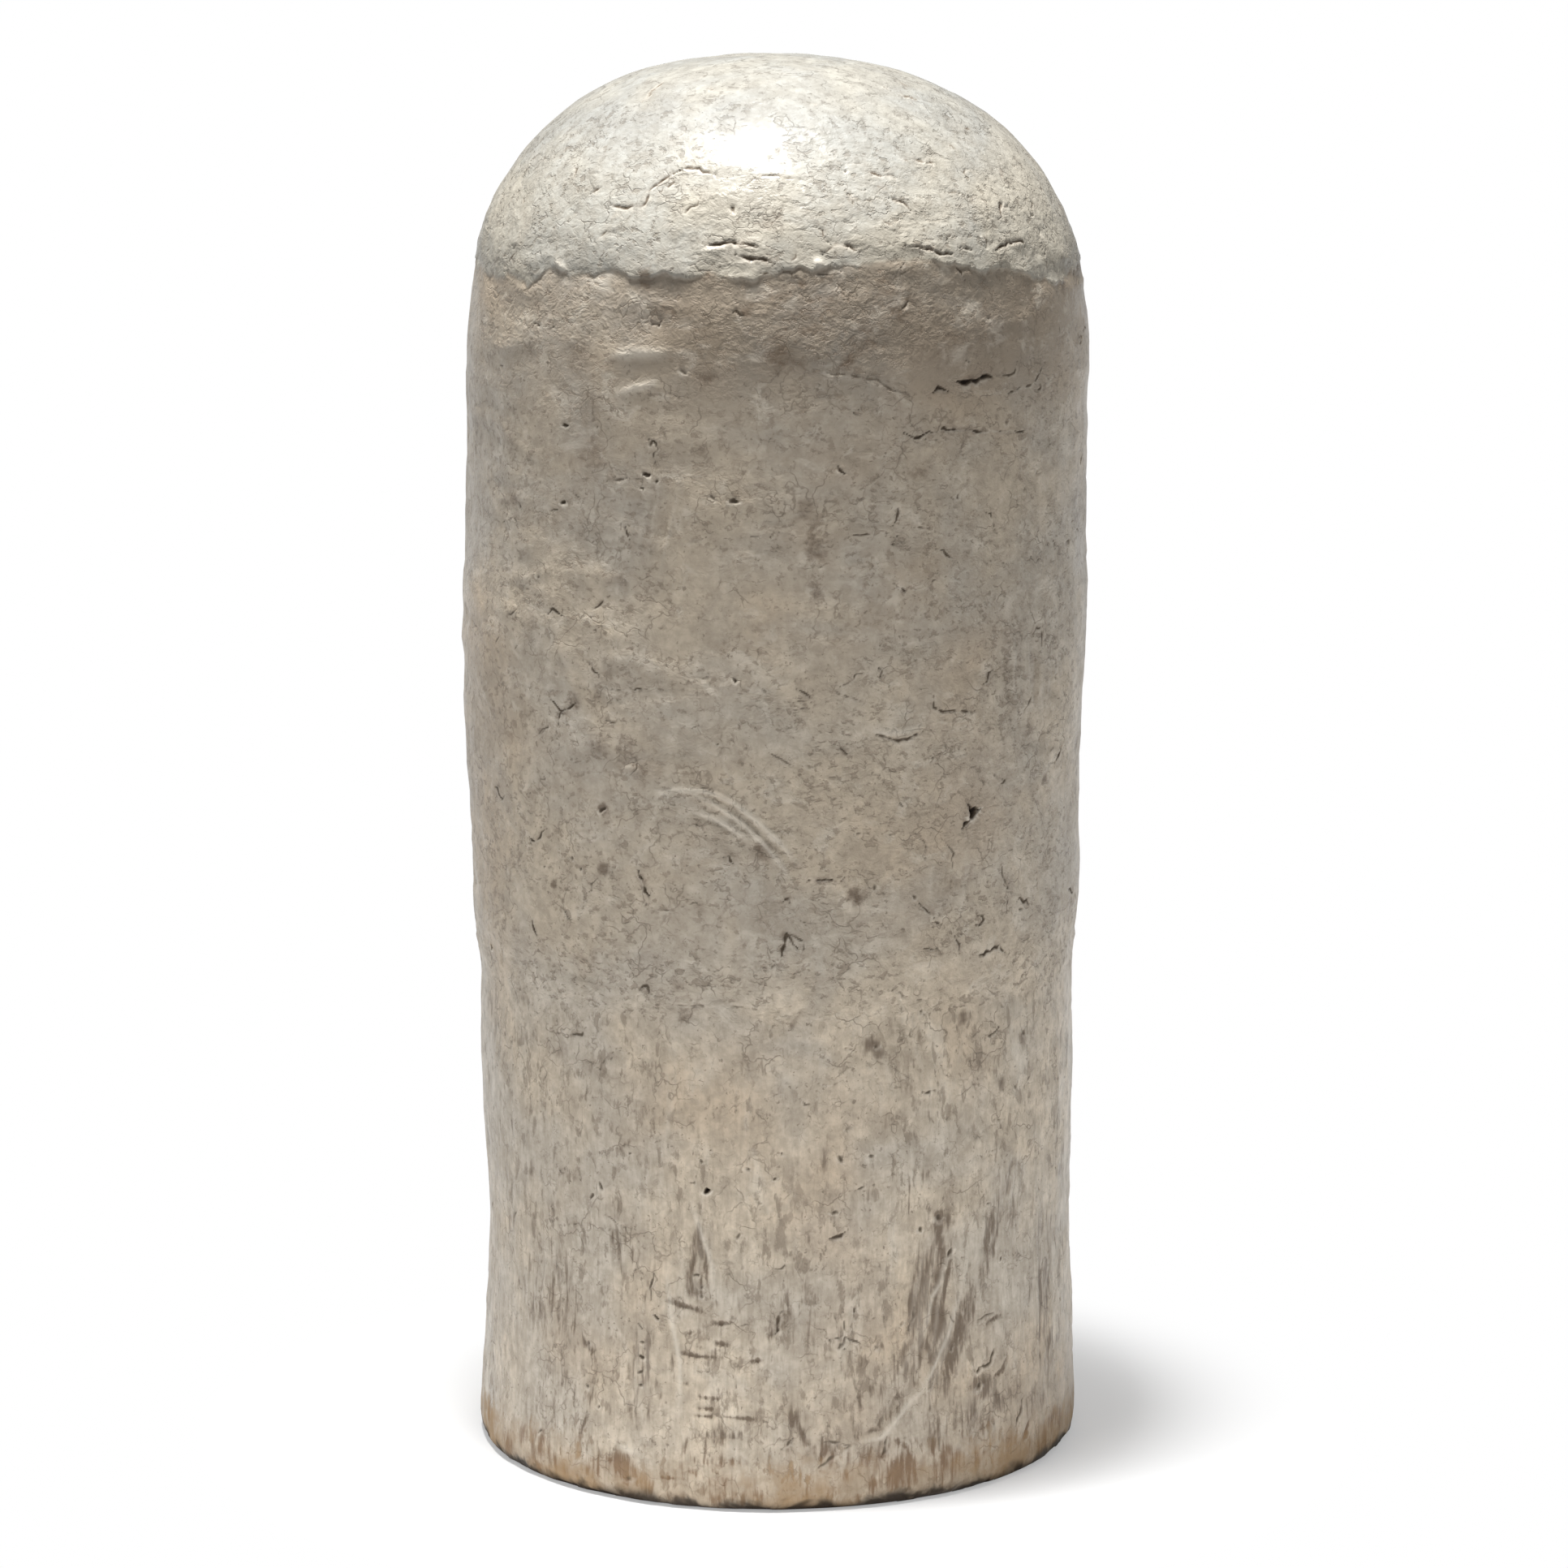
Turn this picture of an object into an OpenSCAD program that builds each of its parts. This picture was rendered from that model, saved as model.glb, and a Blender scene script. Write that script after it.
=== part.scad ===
// Closed column of hand-built glazed stoneware, in one piece.
// A round wall stands on a flat foot. It is built in two courses, the lower one
// set in a little under the joint, and it is closed by a low, full dome whose cap
// was pressed on over the wall. Nothing is quite round: the wall is slightly oval,
// wavers as it rises and leans from side to side by a few millimetres.
// Units are millimetres. +Z is up, the foot stands on Z = 0, and the front faces -Y.

/* [Overall] */
// Height from the floor to the crown of the dome
height = 860; // [500:5:1400]
// Radius of the upper course of the wall
upper_radius = 188.5; // [100:0.5:320]

/* [Dome] */
// Height of the dome above the shoulder
dome_height = 190; // [120:1:260]
// Fullness of the dome: 2 is an ellipse, and more is squarer at the shoulder
dome_fullness = 2.4; // [1.8:0.05:3]
// How far the crown lies off the axis
crown_lean = 5; // [0:0.5:8]
// Direction of the crown's lean, from +X towards +Y
crown_lean_way = 170; // [0:5:355]
// Height of the seam of the cap above the shoulder
cap_seam_rise = 71; // [30:1:110]
// How far the cap stands proud of the wall at its seam
cap_seam_step = 0.8; // [0:0.1:3]
// Height over which the cap's edge dies into the wall
cap_seam_blend = 14; // [8:1:30]

/* [Wall] */
// How far the lower course is set in from the upper one
lower_setback = 3.5; // [0:0.5:12]
// Height of the joint between the two courses
joint_height = 322; // [180:1:420]
// Height over which the joint is smoothed out
joint_blend = 35; // [16:1:80]
// How much deeper the joint is on the side that joint_bias_way names
joint_bias = 0.6; // [0:0.1:4]
// Direction in which the joint is deepest
joint_bias_way = 185; // [0:5:355]
// How far the wall swells at the belly
belly_swell = 4; // [0:0.1:8]
// Height of the belly
belly_height = 505; // [350:5:600]
// Height over which the belly fades
belly_spread = 95; // [40:1:150]
// How far the wall rolls out below the shoulder
shoulder_roll = 2.4; // [0:0.1:5]
// Height over which the shoulder's roll fades
shoulder_spread = 75; // [20:1:90]

/* [Foot] */
// How far the wall is pinched in at the waist above the foot
waist_pinch = 2.7; // [0:0.1:8]
// Height of the waist
waist_height = 145; // [90:1:240]
// Height over which the waist fades
waist_spread = 52; // [30:1:100]
// How far the foot flares out
foot_flare = 2.4; // [0:0.1:10]
// Height of the widest part of the foot
flare_height = 16; // [8:1:40]
// Height over which the flare fades
flare_spread = 38; // [20:1:80]
// Radius of the worn edge under the foot
foot_edge = 6; // [2:0.5:12]

/* [Handwork] */
// How far the plan is out of round, as an oval
oval = 1.1; // [0:0.1:4]
// Direction of the oval's long axis
oval_way = 65; // [0:5:175]
// Depth of the broad waver of the wall, a few lobes that turn as the wall rises
waver = 0.6; // [0:0.1:3]
// Lobes of the waver round the wall
waver_lobes = 3; // [2:1:6]
// Height in which the waver repeats
waver_pitch = 300; // [120:5:500]
// Depth of the finer ripple that turns the other way
ripple = 0.3; // [0:0.1:2]
// Lobes of the ripple round the wall
ripple_lobes = 5; // [3:1:9]
// Height in which the ripple repeats
ripple_pitch = 200; // [100:5:400]
// How far the wall's centre drifts off the axis
drift = 1.2; // [0:0.1:5]
// Height in which the drift goes once to and fro
drift_pitch = 540; // [300:10:900]

/* [Hidden] */

glaze_colour = [0.72, 0.67, 0.59];
shoulder_height = height - dome_height;
cap_seam_height = shoulder_height + cap_seam_rise;
lean_x = cos(crown_lean_way);
lean_y = sin(crown_lean_way);

segments = 72;      // points round each ring
edge_rings = 4;     // rings round the worn edge of the foot
wall_rings = 42;    // rings up the wall
dome_rings = 20;    // rings up the dome
crown_start = 86;   // degrees up the dome of its last ring, below the crown's one point

// A hump of 1 at centre, fading over spread.
function hump(z, centre, spread) = exp(-pow((z - centre) / spread, 2));

// 0 below -0.5, 1 above 0.5, and smooth between.
function ease(t) = let (u = max(0, min(1, t + 0.5))) u * u * (3 - 2 * u);

// How far the lower course is set in at this angle.
function joint_step(angle) = lower_setback + joint_bias * cos(angle - joint_bias_way);

// Radius of the two courses, before the handwork.
function course_radius(z, angle) =
    upper_radius
    - joint_step(angle) * (1 - ease((z - joint_height) / joint_blend))
    + belly_swell * hump(z, belly_height, belly_spread)
    + shoulder_roll * hump(z, shoulder_height, shoulder_spread)
    - waist_pinch * hump(z, waist_height, waist_spread)
    + foot_flare * hump(z, flare_height, flare_spread);

// What the maker's hands leave: an oval plan, the waver and the ripple, and a drift of the axis.
function handwork(z, angle) =
    oval * cos(2 * (angle - oval_way))
    + waver * sin(waver_lobes * angle + 360 * z / waver_pitch)
    + ripple * sin(ripple_lobes * angle - 360 * z / ripple_pitch)
    + drift * cos(360 * (z - waist_height) / drift_pitch) * cos(angle);

// The wall's radius all told.
function wall_radius(z, angle) = course_radius(z, angle) + handwork(z, angle);

// One ring of points at height z: a share of the wall's outline at wall_z, pushed out by proud
// and carried sideways by lean.
function ring(z, wall_z, share, proud = 0, lean = 0) = [
    for (i = [0 : segments - 1])
        let (
            angle = 360 * i / segments,
            r = wall_radius(wall_z, angle) * share + proud
        )
        [r * cos(angle) + lean * lean_x, r * sin(angle) + lean * lean_y, z]
];

// The worn edge under the foot is a quarter circle from the flat underside to the wall.
edge = [
    for (i = [0 : edge_rings - 1])
        let (t = 90 * i / edge_rings)
        ring(foot_edge * (1 - cos(t)), foot_edge, 1, proud = -foot_edge * (1 - sin(t)))
];

wall = [
    for (i = [0 : wall_rings - 1])
        let (z = foot_edge + (shoulder_height - foot_edge) * i / wall_rings)
        ring(z, z, 1)
];

// The dome is a superellipse: cos and sin to the power of 2 over its fullness. The power on t
// spaces its rings evenly above the shoulder.
dome = [
    for (i = [0 : dome_rings])
        let (
            t = crown_start * pow(i / dome_rings, dome_fullness / 2),
            share = pow(cos(t), 2 / dome_fullness),
            z = shoulder_height + dome_height * pow(sin(t), 2 / dome_fullness),
            above_seam = ease((z - cap_seam_height) / cap_seam_blend)
        )
        ring(z, shoulder_height, share,
             proud = cap_seam_step * above_seam * share,
             lean = crown_lean * pow(sin(t), 2))
];

rings = concat(edge, wall, dome);
crown = [crown_lean * lean_x, crown_lean * lean_y, height];

module column() {
    last = len(rings) - 1;
    points = concat([for (one = rings) each one], [crown]);
    underside = [[for (i = [0 : segments - 1]) i]];
    sides = [
        for (k = [0 : last - 1], i = [0 : segments - 1])
            let (
                a = k * segments + i,
                b = k * segments + (i + 1) % segments
            )
            each [[a, a + segments, b + segments], [a, b + segments, b]]
    ];
    top = [
        for (i = [0 : segments - 1])
            [last * segments + i, len(points) - 1, last * segments + (i + 1) % segments]
    ];
    color(glaze_colour)
        polyhedron(points = points, faces = concat(underside, sides, top), convexity = 4);
}

column();
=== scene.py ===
from functools import reduce
from math import pi, radians

import bpy
import numpy as np
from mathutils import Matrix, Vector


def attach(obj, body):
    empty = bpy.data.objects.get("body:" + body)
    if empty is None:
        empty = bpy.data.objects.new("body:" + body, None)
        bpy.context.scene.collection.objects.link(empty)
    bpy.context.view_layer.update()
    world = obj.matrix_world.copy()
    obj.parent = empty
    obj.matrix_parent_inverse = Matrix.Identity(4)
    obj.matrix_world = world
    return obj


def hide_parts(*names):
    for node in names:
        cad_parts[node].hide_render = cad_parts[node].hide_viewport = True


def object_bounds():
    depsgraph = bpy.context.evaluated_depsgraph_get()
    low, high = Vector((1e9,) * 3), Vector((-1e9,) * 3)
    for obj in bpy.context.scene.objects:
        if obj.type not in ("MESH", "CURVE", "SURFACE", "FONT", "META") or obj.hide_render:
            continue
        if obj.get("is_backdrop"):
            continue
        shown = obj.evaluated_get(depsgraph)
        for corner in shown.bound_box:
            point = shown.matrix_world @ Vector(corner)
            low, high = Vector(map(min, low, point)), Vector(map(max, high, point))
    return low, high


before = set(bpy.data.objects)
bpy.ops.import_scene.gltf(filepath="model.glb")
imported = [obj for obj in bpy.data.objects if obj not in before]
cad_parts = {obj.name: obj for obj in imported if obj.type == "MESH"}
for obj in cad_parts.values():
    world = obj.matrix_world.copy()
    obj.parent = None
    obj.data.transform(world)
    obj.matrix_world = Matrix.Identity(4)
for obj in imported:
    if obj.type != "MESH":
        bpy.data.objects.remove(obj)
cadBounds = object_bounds()
print("frame loaded:", sorted(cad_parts))

mm = 0.001
closeBy = 1e-5      # metres within which two points count as one
degreeWidth = 3.3   # millimetres round the wall for each degree


def smooth(low, high, x):
    # 0 below low, 1 above high, and an S curve between
    t = np.clip((x - low) / (high - low), 0, 1)
    return t * t * (3 - 2 * t)


def hump(x, centre, spread):
    # a bell of 1 at centre, down to a third at spread
    return np.exp(-((x - centre) / spread) ** 2)


# what every noise below is drawn from, the same each run
seedStep = 7.31     # how far apart two seeds lie in it
noiseReach = 1.7    # stretches it to about -1 to 1
noiseDice = np.random.default_rng(41)
cornerOrder = np.concatenate([noiseDice.permutation(256)] * 2)
cornerSlopes = noiseDice.normal(size=(256, 3))
cornerSlopes = (cornerSlopes / np.linalg.norm(cornerSlopes, axis=1, keepdims=True)).astype(np.float32)


def cloud(points, cell, seed):
    # Gradient noise, about -1 to 1: a slope at each corner of a box grid of that cell size,
    # and the eight corners' slopes blended by a smooth step of the place in the box.
    place = points / np.asarray(cell, np.float32) + np.float32(seed * seedStep)
    base = np.floor(place)
    inside = (place - base).astype(np.float32)
    box = base.astype(np.int32) & 255
    blend = inside * inside * inside * (inside * (inside * 6 - 15) + 10)
    total = np.zeros(points.shape[:-1], np.float32)
    for corner in np.ndindex(2, 2, 2):
        pick = cornerOrder[(box[..., 0] + corner[0]) & 255]
        pick = cornerOrder[pick + ((box[..., 1] + corner[1]) & 255)]
        pick = cornerOrder[pick + ((box[..., 2] + corner[2]) & 255)]
        slope = cornerSlopes[pick]
        offset = inside - np.array(corner, np.float32)
        share = np.where(np.array(corner, bool), blend, 1 - blend)
        total += (slope * offset).sum(-1) * share[..., 0] * share[..., 1] * share[..., 2]
    return total * noiseReach


def clouds(points, cell, octaves, seed):
    # octaves of cloud, each half the size and half the weight of the one before
    cell = np.asarray(cell, float)
    return sum(cloud(points, cell / 2 ** k, seed + 3 * k) * 0.5 ** k for k in range(octaves))


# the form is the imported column's own rings, read at many more points
def readRings(node):
    # The node's points by height, each ring in order round its middle from +X, and the crown's one point.
    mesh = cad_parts[node].data
    points = np.empty(len(mesh.vertices) * 3)
    mesh.vertices.foreach_get("co", points)
    points = np.unique(points.reshape(-1, 3).round(6), axis=0)
    points = points[np.argsort(points[:, 2], kind="stable")]
    crown = points[-1]
    breaks = np.flatnonzero(np.diff(points[:-1, 2]) > closeBy) + 1
    rings = []
    for ring in np.split(points[:-1], breaks):
        spoke = ring[:, :2] - ring[:, :2].mean(axis=0)
        turn = (np.arctan2(spoke[:, 1], spoke[:, 0]) + 0.04) % (2 * pi)     # so that +X comes first
        ring = ring[np.argsort(turn)]
        apart = np.linalg.norm(ring - np.roll(ring, 1, axis=0), axis=1) > closeBy
        rings.append(ring[apart])
    return np.stack(rings), crown


def formLattice(node, columns, rows):
    # Each ring is read as a sum of waves, so it can be sampled anywhere round. Up the profile a
    # Hermite curve joins the rings: its slope at a ring is the mean of the two chords there, each
    # weighted by the other's length. Past the crown the curve runs on down the far side.
    rings, crown = readRings(node)
    rings = np.fft.irfft(np.fft.rfft(rings, axis=1), n=columns, axis=1) * columns / rings.shape[1]
    knots = np.concatenate([rings, np.broadcast_to(crown, (1, columns, 3))])
    beyond = np.roll(knots[-2:-1], columns // 2, axis=1)
    chords = np.diff(np.concatenate([knots, beyond]), axis=0)
    lengths = np.linalg.norm(chords, axis=2).mean(axis=1)
    chords /= lengths[:, None, None]
    weight = (lengths[:-1] / (lengths[:-1] + lengths[1:]))[:, None, None]
    slopes = np.concatenate([chords[:1], chords[:-1] * (1 - weight) + chords[1:] * weight])
    along = np.concatenate([[0], np.cumsum(lengths[:-1])])
    sample = np.linspace(0, along[-1], rows + 1)
    k = np.clip(np.searchsorted(along, sample, side="right") - 1, 0, len(along) - 2)
    u = ((sample - along[k]) / lengths[k])[:, None, None]
    span = lengths[k][:, None, None]
    return ((1 + 2 * u) * (1 - u) ** 2 * knots[k] + u * (1 - u) ** 2 * span * slopes[k]
            + u * u * (3 - 2 * u) * knots[k + 1] - u * u * (1 - u) * span * slopes[k + 1])


def latticeNormals(places):
    # outward normals: the way round crossed with the way up
    across = np.roll(places, -1, axis=1) - np.roll(places, 1, axis=1)
    upward = np.gradient(places, axis=0)
    normals = np.cross(across, upward)
    normals[-1] = (0, 0, 1)
    return normals / np.maximum(np.linalg.norm(normals, axis=2, keepdims=True), 1e-12)


# The relief is what hands, tools, drying and firing left in the clay, in millimetres. Its places are
# (angle, height): degrees from the front, to the right, and millimetres above the floor. A crack is
# (width, depth, places), and a pit is (radius, depth, place).
skin = {
    "columns": 1280,        # lattice points round
    "rows": 1088,           # lattice steps from foot to crown
    "triangles": 192000,    # as many as the finished skin may have
    "narrowest": 1.5,       # millimetres round, below which a face isn't split
    "blocks": (8, 4, 2),    # cells along the side of a face, which splits from each to the next and to 1
    # how much each field counts where faces are split
    "weights": {"relief": 1, "crackInk": 0.9, "stainInk": 0.5, "paleInk": 0.7, "capInk": 0.5},
    "backCare": 0.3,        # how fine the back's faces are beside the front's
    "capFrom": 752,         # cracks that start above this are finer, by
    "capCracks": 0.8,
    "lowerBelow": 330,      # and those that start below this are paler, by
    "lowerCracks": 0.75,
    "seamDepth": 1.3,       # how far the cap's ragged edge stands proud
    "puckers": 0.9,         # how deep the clay is puckered above it
    "seamHeight": 741,      # about where it runs
    # painted shade at the seam, over a slightly darker glaze: (strength, from, to) in millimetres above it,
    "shadeSteps": [(0.08, 20, 4), (0.12, 30, -1), (0.42, 1.5, -1.5)],
    "shadeFade": 80,        # how far it reaches down the wall,
    "deepShade": 0.66,      # how much it deepens on the right,
    # and (strength, angle, width, rise, height) of its patches on the cap
    "capShades": [(0.3, 2, 14, 10, 14), (0.2, -8, 12, 42, 18)],
    "jointHeight": 318,     # where the courses meet
    "jointRelief": 0.9,
    "footBite": 2.4,        # how deep the rim of the foot is nibbled
    # how deep each kind of handwork is
    "swells": 0.8,
    "lumps": 0.5,
    "coils": 1.5,
    "dimples": 0.4,
    "creases": 1.3,
    "crumbs": 1,
    "drags": 0.25,
    # the line that the cap's edge follows
    "seamLine": [
        (-120, 741), (-90, 738), (-65, 731), (-58, 734), (-52, 730), (-46, 743), (-41, 739), (-30, 743),
        (-24, 739), (-12, 743), (-4, 738), (4, 746), (10, 745), (18, 749), (27, 750), (36, 744), (50, 739),
        (62, 729), (90, 737), (120, 742), (180, 739),
    ],
    "cracks": [
        (2.2, 1.3, [(-34, 779), (-30, 778), (-26, 781), (-26, 789), (-21, 799), (-18, 802), (-12, 798)]),
        (1.6, 0.8, [(-5, 793), (-2, 798), (3, 796), (6, 795)]), (1.5, 0.7, [(-14, 804), (-10, 806)]),
        (3, 1.2, [(-40, 785), (-38, 789)]), (2.6, 1.6, [(-12, 759), (-8, 761), (-3, 758)]),
        (3, 1.6, [(-7, 754), (-5, 752), (-2, 752), (0, 749)]),
        (2.2, 1.2, [(9, 754), (11, 758), (13, 759), (16, 755)]),
        (2.4, 1.3, [(25, 757), (30, 755), (32, 751), (35, 751)]), (2.4, 1, [(37, 755), (40, 753)]),
        (2, 1, [(46, 752), (50, 755), (54, 756), (55, 752)]), (2.2, 1.1, [(24, 784), (27, 782), (28, 777)]),
        (1.8, 0.9, [(38, 786), (42, 784), (48, 779)]), (2, 0.9, [(33, 805), (36, 803), (39, 802)]),
        (2.2, 1, [(21, 799), (24, 797), (27, 797)]), (1.6, 0.7, [(16, 803), (20, 804)]),
        (2.4, 0.9, [(46, 839), (52, 836)]), (1.4, 0.6, [(11, 836), (15, 836)]),
        (3.4, 2.2, [(34, 678), (38, 677), (40, 680), (42, 679)]),
        (2.6, 1.5, [(29, 673), (30, 676), (32, 673)]),
        (1.8, 0.8, [(46, 668), (53, 673), (55, 678), (57, 683)]),
        (2.4, 0.35, [(9, 686), (14, 684), (19, 680), (21, 675), (25, 672)]),
        (1.8, 1.2, [(23, 650), (25, 646), (28, 649), (31, 651), (38, 648), (50, 645)]),
        (2.4, 1, [(11, 632), (12, 627)]), (2, 0.9, [(22, 606), (21, 596)]),
        (1.6, 0.6, [(23, 594), (28, 593)]), (1.6, 0.6, [(13, 590), (20, 591)]),
        (2.4, 1, [(22, 589), (21, 585)]), (1.8, 0.7, [(-31, 620), (-27, 623)]),
        (1.5, 0.6, [(-16, 581), (-16, 587), (-12, 590)]), (1.2, 0.4, [(-17, 672), (-6, 673)]),
        (1.6, 0.8, [(-44, 486), (-41, 480), (-38, 486)]), (1.6, 0.8, [(-42, 472), (-41, 480), (-40, 473)]),
        (1.6, 0.7, [(-30, 497), (-26, 498), (-23, 499)]), (1.4, 0.5, [(-33, 480), (-29, 477), (-29, 484)]),
        (1.6, 0.7, [(-13, 442), (-11, 440)]), (2.6, 1.3, [(-25, 390), (-24, 381), (-23, 375)]),
        (1.3, 0.5, [(-23, 375), (-24, 367), (-19, 366), (-14, 372)]), (2.4, 1.2, [(-50, 349), (-49, 341)]),
        (1.6, 0.8, [(-41, 359), (-40, 354)]), (1.2, 0.5, [(-1, 490), (6, 490)]),
        (1.6, 0.4, [(-1, 464), (3, 456)]), (2, 0.6, [(11, 498), (13, 496), (15, 494)]),
        (1.8, 0.8, [(29, 494), (29, 487), (31, 484), (38, 482)]),
        (2.4, 0.9, [(18, 473), (20, 470), (22, 469), (25, 470), (27, 473)]),
        (4.2, 3, [(37, 426), (38, 418), (40, 422)]), (2.6, 1.6, [(38, 418), (36, 411)]),
        (2.4, 1.4, [(63, 439), (66, 446)]), (1.4, 0.5, [(26, 411), (28, 404), (28, 396)]),
        (1.8, 0.5, [(32, 406), (34, 397), (34, 381)]), (1.8, 0.6, [(46, 385), (48, 368), (48, 354)]),
        (2.2, 1.2, [(6, 387), (10, 387)]), (2.2, 1, [(27, 369), (29, 363), (30, 359)]),
        (2.6, 1.2, [(1, 342), (2, 355), (4, 346)]), (1.8, 0.8, [(2, 355), (5, 351), (5, 345)]),
        (1.8, 0.9, [(28, 341), (31, 340)]), (2.2, 0.9, [(35, 346), (36, 337)]),
        (2.4, 1.2, [(41, 332), (46, 335), (48, 330)]), (1.6, 0.7, [(-19, 309), (-16, 309), (-6, 310)]),
        (2, 0.9, [(-42, 282), (-39, 283), (-38, 289)]), (1.6, 0.8, [(-31, 279), (-28, 277)]),
        (1.6, 0.6, [(-38, 268), (-35, 265), (-33, 273)]), (1.8, 0.9, [(13, 284), (15, 281)]),
        (2.2, 0.6, [(17, 275), (19, 264)]), (2, 0.5, [(21, 272), (26, 261)]),
        (2.4, 0.7, [(22, 317), (25, 312)]), (1.8, 0.6, [(26, 292), (26, 283)]),
        (1.6, 0.8, [(8, 263), (11, 262)]), (1.8, 0.6, [(-2, 254), (1, 258), (2, 264)]),
        (1.8, 0.9, [(28, 253), (31, 253)]), (2.6, 1.3, [(10, 167), (11, 167), (13, 171)]),
        (1.6, 0.7, [(0, 149), (2, 151), (2, 147)]), (1.8, 0.7, [(43, 178), (46, 173)]),
        (2.6, 1, [(1, 123), (0, 110)]), (2, 1.1, [(13, 116), (13, 107), (10, 105)]),
        (2, 1, [(16, 101), (13, 107), (13, 99)]), (2.4, 0.9, [(29, 65), (31, 72)]),
        (2.2, 0.8, [(27, 120), (26, 106)]), (2.4, 1, [(35, 114), (36, 107)]),
        (1.8, 0.7, [(42, 105), (46, 107)]), (2.2, 1, [(46, 84), (45, 76), (42, 75)]),
        (2.6, 0.9, [(55, 48), (52, 31)]), (2.4, 0.9, [(1, 39), (3, 45)]),
        (2.2, 0.7, [(9, 43), (14, 40), (8, 27)]), (2.8, 0.9, [(21, 43), (20, 31)]),
        (2, 0.8, [(32, 37), (32, 29)]),
    ],
    "pits": [
        (2.2, 1, (-8, 779)), (1.6, 0.8, (62, 769)), (2.4, 0.9, (52, 776)), (1.8, 1, (16, 800)),
        (3.6, 2.6, (38.2, 420)), (1.8, 1.5, (-40, 651)), (1.2, 0.8, (-33, 652)), (1.8, 0.9, (-22, 645)),
        (2.2, 1.6, (-23, 626)), (1.8, 1.3, (-21, 622)), (1.4, 1, (-24, 617)), (2.4, 1.6, (-41, 605)),
        (1.4, 0.9, (-53, 599)), (2.6, 1.3, (-7, 612)), (1.4, 0.7, (-11, 614)), (1.7, 1, (-47, 559)),
        (1.2, 0.6, (-34, 584)), (1.4, 1.1, (23, 558)), (1.1, 0.8, (34, 610)), (1.8, 1.2, (-7, 506)),
        (1.4, 0.8, (-2, 501)), (1.4, 0.9, (-10, 468)), (2.4, 1.2, (-32, 425)), (1.4, 0.9, (-46, 384)),
        (1.2, 0.7, (-45, 390)), (1.5, 1, (-39, 392)), (1.7, 1.2, (-37, 387)), (2.6, 2, (-68, 322)),
        (1.2, 0.9, (23, 429)), (1.8, 0.8, (18, 381)), (1.6, 0.8, (15, 414)), (1.7, 0.9, (26, 373)),
        (2.4, 2.4, (-13, 196)), (1.6, 0.8, (-28, 215)), (1.4, 0.9, (-14, 215)), (1.6, 0.9, (-12, 222)),
        (1.8, 1, (-5, 211)), (2.2, 1, (-35, 193)), (1.8, 0.9, (-37, 185)), (1.8, 0.8, (-7, 169)),
        (2.4, 0.9, (28, 302)), (2.6, 1, (12, 216)), (2.6, 1, (18, 217)), (1.5, 1, (0, 205)),
        (1.3, 1, (1, 221)), (2, 1, (11, 184)), (3.6, 0.9, (32, 175)), (2.6, 1.1, (28, 168)),
        (1.5, 1.5, (48, 139)), (2.8, 1.1, (35, 150)), (1.6, 0.9, (45, 209)), (1.8, 0.7, (47, 227)),
        (1.6, 0.9, (-26, 100)), (2, 1.1, (-26, 91)), (1.8, 0.9, (-26, 82)), (2, 1.1, (-26, 73)),
        (1.5, 1.1, (-23, 116)), (2.4, 0.8, (-38, 93)), (2, 1.1, (-38, 66)), (1.8, 1, (-35, 55)),
        (1.4, 0.9, (15, 122)), (1.4, 0.8, (19, 99)), (3, 0.9, (42, 64)), (2.4, 1.2, (42, 73)),
        (3, 0.7, (-28, 15)), (1.6, 0.8, (-51, 29)), (1.8, 0.9, (-15, 144)), (1.8, 0.9, (-14, 137)),
        (1.8, 0.9, (-14, 131)),
    ],
    # (width, depth, brown, places) of single grooves that fingers and tools dragged
    "grooves": [
        (3, 0.7, 0.3, [(-15, 426), (-11, 422), (-8, 416), (-5, 408)]),
        (3, 0.6, 0.2, [(-14, 432), (-10, 428), (-6, 420), (-3, 411)]),
        (3.4, 0.7, 0.3, [(-11, 437), (-8, 431), (-5, 422), (-2, 413), (1, 404), (4, 396)]),
        (4.5, 1, 0.6, [(15, 61), (14, 55), (16, 46), (19, 48), (21, 56), (23, 65), (28, 76), (30, 85)]),
        (3.6, 0.9, 0.9, [(4, 60), (5, 46), (6, 30)]), (5, 0.6, 0.5, [(5, 46), (7, 40), (6, 34)]),
        (4, 0.7, 0.8, [(10, 43), (8, 30)]), (5, 0.7, 0.7, [(13, 48), (11, 36), (9, 23)]),
        (3.6, 0.7, 0.8, [(16, 75), (16, 64), (16, 54)]), (3, 0.8, 1, [(44, 101), (47, 104), (49, 104)]),
        (3.2, 0.8, 1, [(50, 78), (48, 70), (45, 66)]), (4, 0.9, 1, [(58, 35), (56, 27), (54, 18)]),
        (6, 0.7, 1, [(21, 37), (20, 28)]), (4, 0.6, 0.8, [(22, 41), (24, 38), (26, 31)]),
        (4.5, 0.7, 0.9, [(29, 30), (28, 17)]), (4.5, 0.7, 0.8, [(-41, 102), (-39, 93), (-36, 86)]),
        (5, 0.5, 0.5, [(-36, 88), (-36, 76), (-38, 62)]), (3.6, 0.6, 0.7, [(-37, 52), (-39, 39), (-40, 26)]),
        (6, 0.4, 0.45, [(-51, 169), (-48, 160)]), (3.6, 0.5, 0.6, [(-27, 101), (-27, 86)]),
        (7, 0.7, 0.3, [(-46, 295), (-45, 280), (-44, 262), (-47, 247)]),
        (2.4, 0.4, 0.6, [(-22, 18), (-16, 18)]), (2.6, 0.5, 0.7, [(-11, 17), (-8, 16)]),
    ],
    # (width, height, places) of the ridges that were pushed up
    "ridges": [
        (5, 1, [(-28, 673), (-25, 676), (-21, 679)]), (6, 1.1, [(-30, 694), (-25, 696), (-19, 697)]),
        (4, 0.9, [(17, 476), (20, 474), (23, 474), (27, 476)]),
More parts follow.
